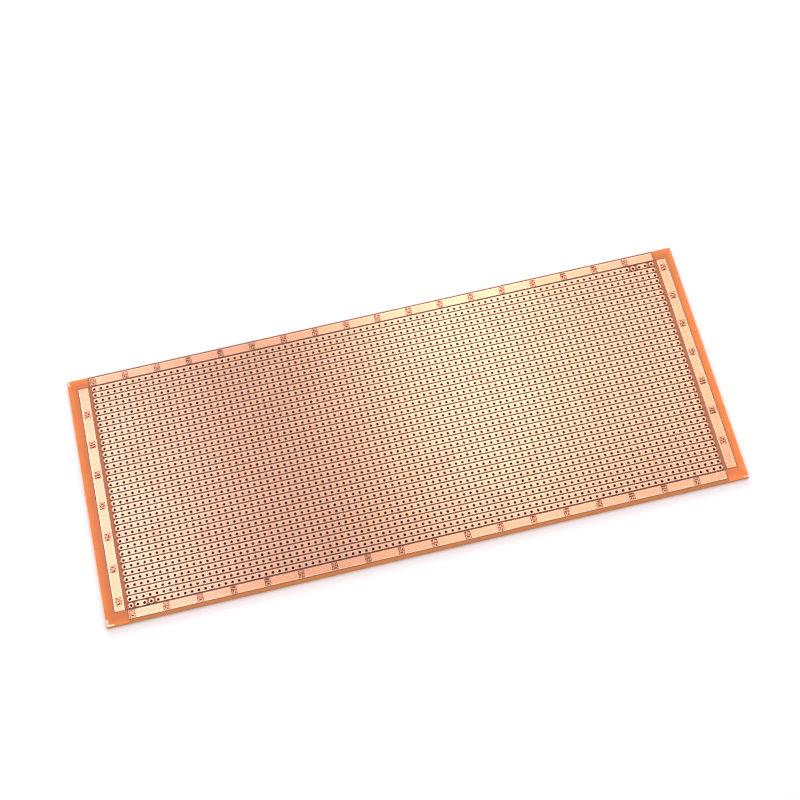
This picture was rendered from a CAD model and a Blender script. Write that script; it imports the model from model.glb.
import bpy
from mathutils import Matrix

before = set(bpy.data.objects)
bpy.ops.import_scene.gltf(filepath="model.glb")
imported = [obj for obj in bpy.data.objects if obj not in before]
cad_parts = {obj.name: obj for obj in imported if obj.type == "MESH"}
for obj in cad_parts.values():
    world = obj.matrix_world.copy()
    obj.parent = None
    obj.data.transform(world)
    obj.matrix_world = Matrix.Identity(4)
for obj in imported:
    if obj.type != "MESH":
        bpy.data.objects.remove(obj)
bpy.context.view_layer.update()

# ---------------------------------------------------------------- layout, in mm
PITCH = 2.54
MID_X, MID_Y = 0.4, 0.4              # centre of the hole grid
FIRST_X = MID_X - 44.5 * PITCH       # first column of holes
FIRST_Y = MID_Y - 17.5 * PITCH       # front row of holes
HOLE_R = 0.5
STRIP_HALF = 0.985
BOARD_X, BOARD_Y, BOARD_T = 122.7, 50.3, 1.6


# ---------------------------------------------------------------- node helpers
class Tree:
    """A material's node tree, built from Python expressions."""

    def __init__(self, name):
        self.mat = bpy.data.materials.new(name)
        self.mat.use_nodes = True
        self.nt = self.mat.node_tree
        self.nt.nodes.clear()
        self.out = self.nt.nodes.new("ShaderNodeOutputMaterial")
        self.bsdf = self.nt.nodes.new("ShaderNodeBsdfPrincipled")
        self.nt.links.new(self.bsdf.outputs["BSDF"], self.out.inputs["Surface"])

    def put(self, socket, value):
        if isinstance(value, bpy.types.NodeSocket):
            self.nt.links.new(value, socket)
        elif isinstance(value, (tuple, list)) and len(value) == 3 and socket.type == "RGBA":
            socket.default_value = (*value, 1.0)
        else:
            socket.default_value = value

    def math(self, op, *values, clamp=False):
        n = self.nt.nodes.new("ShaderNodeMath")
        n.operation = op
        n.use_clamp = clamp
        for i, v in enumerate(values):
            self.put(n.inputs[i], v)
        return n.outputs[0]

    def add(self, a, b): return self.math("ADD", a, b)
    def sub(self, a, b): return self.math("SUBTRACT", a, b)
    def mul(self, a, b): return self.math("MULTIPLY", a, b)
    def low(self, a, b): return self.math("MINIMUM", a, b)
    def high(self, a, b): return self.math("MAXIMUM", a, b)
    def size(self, a): return self.math("ABSOLUTE", a)

    def step(self, value, lo, hi, a=0.0, b=1.0):
        """Smooth change from a, at lo, to b, at hi."""
        n = self.nt.nodes.new("ShaderNodeMapRange")
        n.interpolation_type = "SMOOTHSTEP"
        for name, v in (("Value", value), ("From Min", lo), ("From Max", hi), ("To Min", a), ("To Max", b)):
            self.put(n.inputs[name], v)
        return n.outputs["Result"]

    def mix(self, share, a, b, blend="MIX"):
        n = self.nt.nodes.new("ShaderNodeMix")
        n.data_type = "RGBA"
        n.blend_type = blend
        self.put(n.inputs[0], share)
        self.put(n.inputs[6], a)
        self.put(n.inputs[7], b)
        return n.outputs[2]

    def mix_value(self, share, a, b):
        n = self.nt.nodes.new("ShaderNodeMix")
        n.data_type = "FLOAT"
        self.put(n.inputs[0], share)
        self.put(n.inputs[2], a)
        self.put(n.inputs[3], b)
        return n.outputs[0]

    def place(self):
        """The point on the object in mm, as a vector and as x, y, z."""
        tc = self.nt.nodes.new("ShaderNodeTexCoord")
        s = self.nt.nodes.new("ShaderNodeVectorMath")
        s.operation = "SCALE"
        self.put(s.inputs[0], tc.outputs["Object"])
        s.inputs["Scale"].default_value = 1000.0
        x = self.nt.nodes.new("ShaderNodeSeparateXYZ")
        self.put(x.inputs[0], s.outputs[0])
        return s.outputs[0], x.outputs[0], x.outputs[1], x.outputs[2]

    def upright(self):
        """How flat the face lies: 1 on the top and the underside, 0 on a wall; and the sign of Z."""
        g = self.nt.nodes.new("ShaderNodeNewGeometry")
        x = self.nt.nodes.new("ShaderNodeSeparateXYZ")
        self.put(x.inputs[0], g.outputs["True Normal"])
        return self.size(x.outputs[2]), x.outputs[2]

    def stretched(self, vec, sx, sy, sz, shift=0.0):
        n = self.nt.nodes.new("ShaderNodeMapping")
        self.put(n.inputs["Vector"], vec)
        n.inputs["Scale"].default_value = (sx, sy, sz)
        n.inputs["Location"].default_value = (shift, shift * 0.7, shift * 0.3)
        return n.outputs[0]

    def noise(self, vec, scale, detail=2.0, rough=0.5, warp=0.0):
        n = self.nt.nodes.new("ShaderNodeTexNoise")
        self.put(n.inputs["Vector"], vec)
        n.inputs["Scale"].default_value = scale
        n.inputs["Detail"].default_value = detail
        n.inputs["Roughness"].default_value = rough
        n.inputs["Distortion"].default_value = warp
        return n.outputs["Fac"]

    def phase(self, value, first):
        """Signed distance to the nearest line of the hole grid, in mm."""
        n = self.math("WRAP", self.sub(value, first), PITCH / 2, -PITCH / 2)
        return n

    def bump(self, height, distance, strength=1.0, under=None):
        n = self.nt.nodes.new("ShaderNodeBump")
        n.inputs["Distance"].default_value = distance
        n.inputs["Strength"].default_value = strength
        self.put(n.inputs["Height"], height)
        if under is not None:
            self.put(n.inputs["Normal"], under)
        return n.outputs["Normal"]


def grid(t, x, y):
    """Distance to the nearest hole's centre, to the nearest row's centre line, a 0..1 mask of the
    field of holes, and the distances from the board's middle. Then the distance to a point a little
    to the front of the hole's centre, because the drill wandered that way, how far back of the
    centre line the point is, and the distance to the point midway between two holes of a row."""
    dx, dy = t.phase(x, FIRST_X), t.phase(y, FIRST_Y)
    r = t.math("SQRT", t.add(t.mul(dx, dx), t.mul(dy, dy)))
    ax, ay = t.size(t.sub(x, MID_X)), t.size(t.sub(y, MID_Y))
    inside = t.mul(t.math("LESS_THAN", ax, 44.5 * PITCH + 1.05), t.math("LESS_THAN", ay, 17.5 * PITCH + 1.05))
    dw = t.add(dy, 0.15)
    wander = t.math("SQRT", t.add(t.mul(dx, dx), t.mul(dw, dw)))
    dm = t.sub(PITCH / 2, t.size(dx))
    midway = t.math("SQRT", t.add(t.mul(dm, dm), t.mul(dy, dy)))
    return r, t.size(dy), inside, ax, ay, wander, dy, midway


# ---------------------------------------------------------------- copper foil
def copper():
    t = Tree("copper_foil")
    vec, x, y, z = t.place()
    r, dy, inside, ax, ay, wander, side_y, midway = grid(t, x, y)

    # etched edges and drilled rims: a thin bright bevel
    edge_strip = t.sub(STRIP_HALF, dy)
    rail_y = t.sub(1.625, t.size(t.sub(ay, 47.7)))
    rail_x = t.sub(1.875, t.size(t.sub(ax, 117.305)))
    on_end = t.math("GREATER_THAN", ax, 115.3)
    edge_rail = t.mix_value(on_end, rail_y, rail_x)
    edge = t.mix_value(inside, edge_rail, edge_strip)
    is_mark = t.math("LESS_THAN", edge, -0.02)       # the corner marks lie outside both rails
    on_rail = t.sub(1.0, inside)
    rim_edge = t.step(edge, 0.10, 0.42, 1.0, 0.0)
    inner_side = t.mix_value(on_end, t.sub(ay, 46.075), t.sub(ax, 115.43))
    bevel_rail = t.high(t.step(edge, 0.0, 0.10, 0.6, 0.0), t.step(inner_side, 0.03, 0.20, 0.9, 0.0))
    bevel = t.mix_value(on_rail, t.step(edge, 0.0, 0.125, 0.97, 0.0), bevel_rail)
    bevel = t.mul(bevel, t.sub(1.0, is_mark))
    rim_hole = t.mul(t.step(r, HOLE_R + 0.08, HOLE_R + 0.26, 1.0, 0.0), inside)
    burr = t.mul(t.step(wander, HOLE_R + 0.05, HOLE_R + 0.11, 1.0, 0.0), inside)
    rim = t.high(t.high(rim_edge, t.mul(rim_hole, 0.8)), is_mark)

    fine = t.noise(vec, 4.5, 3.0, 0.6)
    cloud = t.noise(t.stretched(vec, 1.0, 1.0, 1.0, 31.0), 0.11, 3.0, 0.55, 0.4)
    rolled = t.noise(t.stretched(vec, 0.035, 1.6, 1.0, 7.0), 1.0, 2.0, 0.5)
    speck = t.step(t.noise(t.stretched(vec, 1.0, 1.0, 1.0, 83.0), 1.9, 1.0, 0.5), 0.74, 0.82)

    base = t.mix(t.step(fine, 0.35, 0.65), (0.835, 0.392, 0.236), (0.825, 0.384, 0.230))
    base = t.mix(t.step(cloud, 0.45, 0.78, 0.0, 0.18), base, (0.78, 0.330, 0.185))
    between = t.mul(t.step(midway, 0.18, 0.62, 0.55, 0.0), inside)
    base = t.mix(between, base, (0.80, 0.345, 0.195))
    base = t.mix(t.mul(rim, 0.85), base, (1.0, 0.73, 0.52))
    base = t.mix(bevel, base, (0.19, 0.026, 0.022))
    base = t.mix(burr, base, (0.012, 0.004, 0.003))
    base = t.mix(t.mul(speck, 0.25), base, (0.45, 0.17, 0.09))
    t.put(t.bsdf.inputs["Base Color"], base)
    t.bsdf.inputs["Metallic"].default_value = 1.0

    rough = t.add(t.step(fine, 0.2, 0.8, 0.262, 0.278), t.step(rolled, 0.2, 0.8, -0.008, 0.008))
    rough = t.add(rough, t.step(cloud, 0.45, 0.8, 0.0, 0.04))
    t.put(t.bsdf.inputs["Roughness"], rough)

    height = t.add(t.mul(fine, 0.7), t.mul(rolled, 0.3))
    n = t.bump(height, 0.0000015, 0.3)
    t.put(t.bsdf.inputs["Normal"], n)
    t.bsdf.inputs["Coat Weight"].default_value = 0.12
    t.bsdf.inputs["Coat Roughness"].default_value = 0.25
    return t.mat


# ---------------------------------------------------------------- phenolic laminate
def phenolic():
    t = Tree("phenolic_laminate")
    vec, x, y, z = t.place()
    r, dy, inside, ax, ay, wander, side_y, midway = grid(t, x, y)
    flat, nz = t.upright()
    is_top = t.math("GREATER_THAN", nz, 0.5)
    is_wall = t.math("LESS_THAN", flat, 0.5)
    to_edge = t.low(t.sub(BOARD_X, t.size(x)), t.sub(BOARD_Y, t.size(y)))
    is_side = t.mul(is_wall, t.math("LESS_THAN", to_edge, 0.05))

    paper = t.noise(t.stretched(vec, 0.55, 1.0, 1.0, 3.0), 2.6, 4.0, 0.62, 0.3)
    cloud = t.noise(t.stretched(vec, 1.0, 1.0, 1.0, 17.0), 0.16, 3.0, 0.55)
    fleck = t.step(t.noise(t.stretched(vec, 0.7, 1.4, 1.0, 57.0), 2.2, 2.0, 0.5), 0.66, 0.76)

    # copper side: amber at the open margin, where light gets into the sheet,
    # and browner close to and between the foil
    out_of_long = t.high(t.sub(ax, 114.4), t.sub(ay, 49.325))
    out_of_end = t.high(t.sub(ax, 119.18), t.sub(ay, 45.6))
    out_of_foil = t.low(out_of_long, out_of_end)
    right = t.mul(t.step(x, -60.0, 60.0), t.step(y, 22.0, 38.0, 1.0, 0.0))
    inner = t.mix(right, (0.660, 0.180, 0.066), (0.760, 0.195, 0.060))
    outer = t.mix(right, (0.850, 0.232, 0.054), (0.960, 0.255, 0.056))
    open_end = t.mix(t.step(to_edge, 0.3, 3.0, 1.0, 0.0), inner, outer)
    long_side = t.mix(t.step(y, -10.0, 10.0), (0.530, 0.175, 0.052), (0.230, 0.045, 0.010))
    margin = t.mix(t.step(ax, 113.6, 115.6), long_side, open_end)
    margin = t.mix(t.step(out_of_foil, 0.05, 0.50, 1.0, 0.0), margin, (0.15, 0.026, 0.012))
    dark = t.mix(t.step(cloud, 0.4, 0.6), (0.080, 0.009, 0.010), (0.100, 0.013, 0.013))
    gap = t.mix(t.step(dy, STRIP_HALF, STRIP_HALF + 0.12), (0.040, 0.005, 0.006), dark)
    gap = t.mix(t.step(dy, STRIP_HALF - 0.12, STRIP_HALF), (0.330, 0.105, 0.050), gap)
    is_apron = t.mul(t.mul(t.math("GREATER_THAN", ax, 113.95), t.math("LESS_THAN", ax, 115.5)),
                     t.math("LESS_THAN", ay, 46.1))
    apron = t.mix(is_apron, dark, (0.400, 0.135, 0.058))
    between = t.mix(inside, apron, gap)
    in_foil = t.math("LESS_THAN", out_of_foil, -0.02)
    top = t.mix(in_foil, margin, between)

    # bare side: even tan with the strips showing through faintly
    shade = t.step(dy, STRIP_HALF - 0.25, STRIP_HALF + 0.25)
    foil_behind = t.mix_value(inside, t.step(out_of_foil, -0.6, 0.4), shade)
    under = t.mix(foil_behind, (0.57, 0.205, 0.078), (0.70, 0.270, 0.100))
    under = t.mix(t.mul(t.step(r, HOLE_R, HOLE_R + 0.22, 1.0, 0.0), inside), under, (0.72, 0.38, 0.20))

    face = t.mix(is_top, under, top)
    face = t.mix(t.step(paper, 0.3, 0.7, 0.0, 0.22), face, (0.55, 0.18, 0.07))
    face = t.mix(t.step(cloud, 0.35, 0.75, 0.0, 0.14), face, (0.42, 0.12, 0.045))
    face = t.mix(t.mul(fleck, 0.22), face, (0.30, 0.09, 0.035))

    # cut edges of the sheet: plies and torn paper
    plies = t.noise(t.stretched(vec, 0.12, 0.12, 6.5, 5.0), 1.0, 3.0, 0.6)
    torn = t.noise(t.stretched(vec, 0.55, 0.55, 1.3, 43.0), 1.0, 3.0, 0.6, 0.6)
    side = t.mix(t.step(torn, 0.35, 0.66), (0.52, 0.215, 0.066), (0.74, 0.330, 0.110))
    side = t.mix(t.step(plies, 0.45, 0.7, 0.0, 0.45), side, (0.40, 0.140, 0.045))
    side = t.mix(t.step(z, BOARD_T - 0.16, BOARD_T - 0.02, 0.0, 0.55), side, (0.80, 0.36, 0.13))

    # walls of the lead holes: pale drilled fibre near the mouth, dark brown inside
    mouth = t.mix(t.step(side_y, 0.0, 0.3), (0.100, 0.042, 0.024), (0.62, 0.360, 0.215))
    bore = t.mix(t.step(z, BOARD_T - 0.70, BOARD_T - 0.25), (0.030, 0.006, 0.003), mouth)
    bore = t.mix(t.step(paper, 0.35, 0.7, 0.0, 0.3), bore, (0.050, 0.014, 0.007))
    bore = t.mix(t.mul(t.step(r, HOLE_R + 0.04, HOLE_R + 0.06), t.math("GREATER_THAN", z, BOARD_T - 0.06)),
                 bore, (0.060, 0.012, 0.010))

    wall = t.mix(is_side, bore, side)
    colour = t.mix(is_wall, face, wall)
    t.put(t.bsdf.inputs["Base Color"], colour)

    smooth = t.add(t.step(paper, 0.25, 0.75, 0.30, 0.42), t.step(cloud, 0.3, 0.8, -0.03, 0.05))
    t.put(t.bsdf.inputs["Roughness"], t.mix_value(is_wall, smooth, 0.72))

    h_face = t.mul(paper, 0.5)
    h_wall = t.add(t.mul(torn, 1.6), t.mul(plies, 1.2))
    height = t.mix_value(is_wall, h_face, h_wall)
    t.put(t.bsdf.inputs["Normal"], t.bump(height, 0.00005, 0.35))
    t.bsdf.inputs["Specular IOR Level"].default_value = 0.22
    return t.mat


COPPER, PHENOLIC = copper(), phenolic()
for name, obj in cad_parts.items():
    mat = PHENOLIC if name == "phenolic_board" else COPPER
    for s in obj.material_slots:
        s.material = mat
    if not obj.material_slots:
        obj.data.materials.append(mat)


# ---------------------------------------------------------------- floor, light, camera
def floor():
    """A wide pale floor, open under the board, so that the lead holes look down into the dark and
    the bare side can be seen from below. The board covers the opening."""
    t = Tree("pale_floor")
    vec, x, y, z = t.place()
    soft = t.noise(vec, 0.02, 2.0)
    t.put(t.bsdf.inputs["Base Color"], t.mix(soft, (0.95, 0.895, 0.905), (0.96, 0.905, 0.915)))
    t.bsdf.inputs["Roughness"].default_value = 0.75
    t.bsdf.inputs["Specular IOR Level"].default_value = 0.2
    me = bpy.data.meshes.new("floor")
    w, d = (BOARD_X - 0.2) / 1000, (BOARD_Y - 0.2) / 1000
    me.from_pydata(
        [(-3, -3, 0), (3, -3, 0), (3, 3, 0), (-3, 3, 0), (-w, -d, 0), (w, -d, 0), (w, d, 0), (-w, d, 0)],
        [],
        [(0, 1, 5, 4), (1, 2, 6, 5), (2, 3, 7, 6), (3, 0, 4, 7)],
    )
    o = bpy.data.objects.new("floor", me)
    me.materials.append(t.mat)
    bpy.context.scene.collection.objects.link(o)
    return o


floor()


def softbox(name, at, aim, size, power, tint=(1.0, 1.0, 1.0)):
    light = bpy.data.lights.new(name, "AREA")
    light.shape = "RECTANGLE"
    light.size, light.size_y = size
    light.energy = power
    light.color = tint
    o = bpy.data.objects.new(name, light)
    bpy.context.scene.collection.objects.link(o)
    way = (Matrix.Translation(aim).translation - Matrix.Translation(at).translation)
    o.location = at
    o.rotation_euler = way.to_track_quat("-Z", "Y").to_euler()
    return o


world = bpy.data.worlds.new("studio")
bpy.context.scene.world = world
world.use_nodes = True
sky = world.node_tree
# even light, but dark straight below the opening in the floor
way_in = sky.nodes.new("ShaderNodeTexCoord")
way_xyz = sky.nodes.new("ShaderNodeSeparateXYZ")
sky.links.new(way_in.outputs["Generated"], way_xyz.inputs[0])
not_below = sky.nodes.new("ShaderNodeMapRange")
not_below.interpolation_type = "SMOOTHSTEP"
not_below.inputs["From Min"].default_value = -0.82
not_below.inputs["From Max"].default_value = -0.74
sky.links.new(way_xyz.outputs[2], not_below.inputs["Value"])
tone = sky.nodes.new("ShaderNodeMix")
tone.data_type = "RGBA"
sky.links.new(not_below.outputs["Result"], tone.inputs[0])
tone.inputs[6].default_value = (0.020, 0.010, 0.008, 1.0)
tone.inputs[7].default_value = (1.0, 0.975, 0.98, 1.0)
sky.links.new(tone.outputs[2], sky.nodes["Background"].inputs["Color"])
sky.nodes["Background"].inputs["Strength"].default_value = 0.65

# the long box makes the bright band on the copper, and the two slim ones its bright ends
softbox("softbox_back", (0.160, 0.747, 1.0), (0.160, 0.747, 0.0), (0.16, 1.006), 1.86, (1.0, 1.0, 1.05))
softbox("softbox_left", (-0.262, 0.347, 1.0), (-0.262, 0.347, 0.0), (0.085, 0.464), 0.68, (0.92, 0.96, 1.13))
softbox("softbox_right", (0.378, 0.400, 1.0), (0.378, 0.400, 0.0), (0.06, 0.30), 0.28)
softbox("fill_left", (-1.1, 0.15, 1.1), (0.0, 0.0, 0.0), (0.7, 0.7), 4.2)
softbox("fill_back", (0.0, 1.3, 0.55), (0.0, 0.0, 0.0), (1.2, 0.5), 10.0, (0.90, 1.04, 1.02))
softbox("fill_right", (1.1, 0.15, 1.1), (0.0, 0.0, 0.0), (0.7, 0.7), 4.2)

bpy.context.scene.view_settings.view_transform = "Standard"
bpy.context.scene.view_settings.look = "None"

cam = bpy.data.cameras.new("camera")
cam.sensor_fit = "HORIZONTAL"
cam.sensor_width = 36.0
cam.lens = 66.804
cam.clip_start, cam.clip_end = 0.01, 20.0
eye = bpy.data.objects.new("camera", cam)
bpy.context.scene.collection.objects.link(eye)
eye.matrix_world = Matrix((
    (0.972978, 0.221975, -0.063565, -0.034256),
    (-0.229337, 0.897106, -0.377632, -0.205279),
    (-0.026800, 0.382006, 0.923771, 0.532531),
    (0.0, 0.0, 0.0, 1.0),
))
bpy.context.scene.camera = eye

bpy.context.view_layer.update()
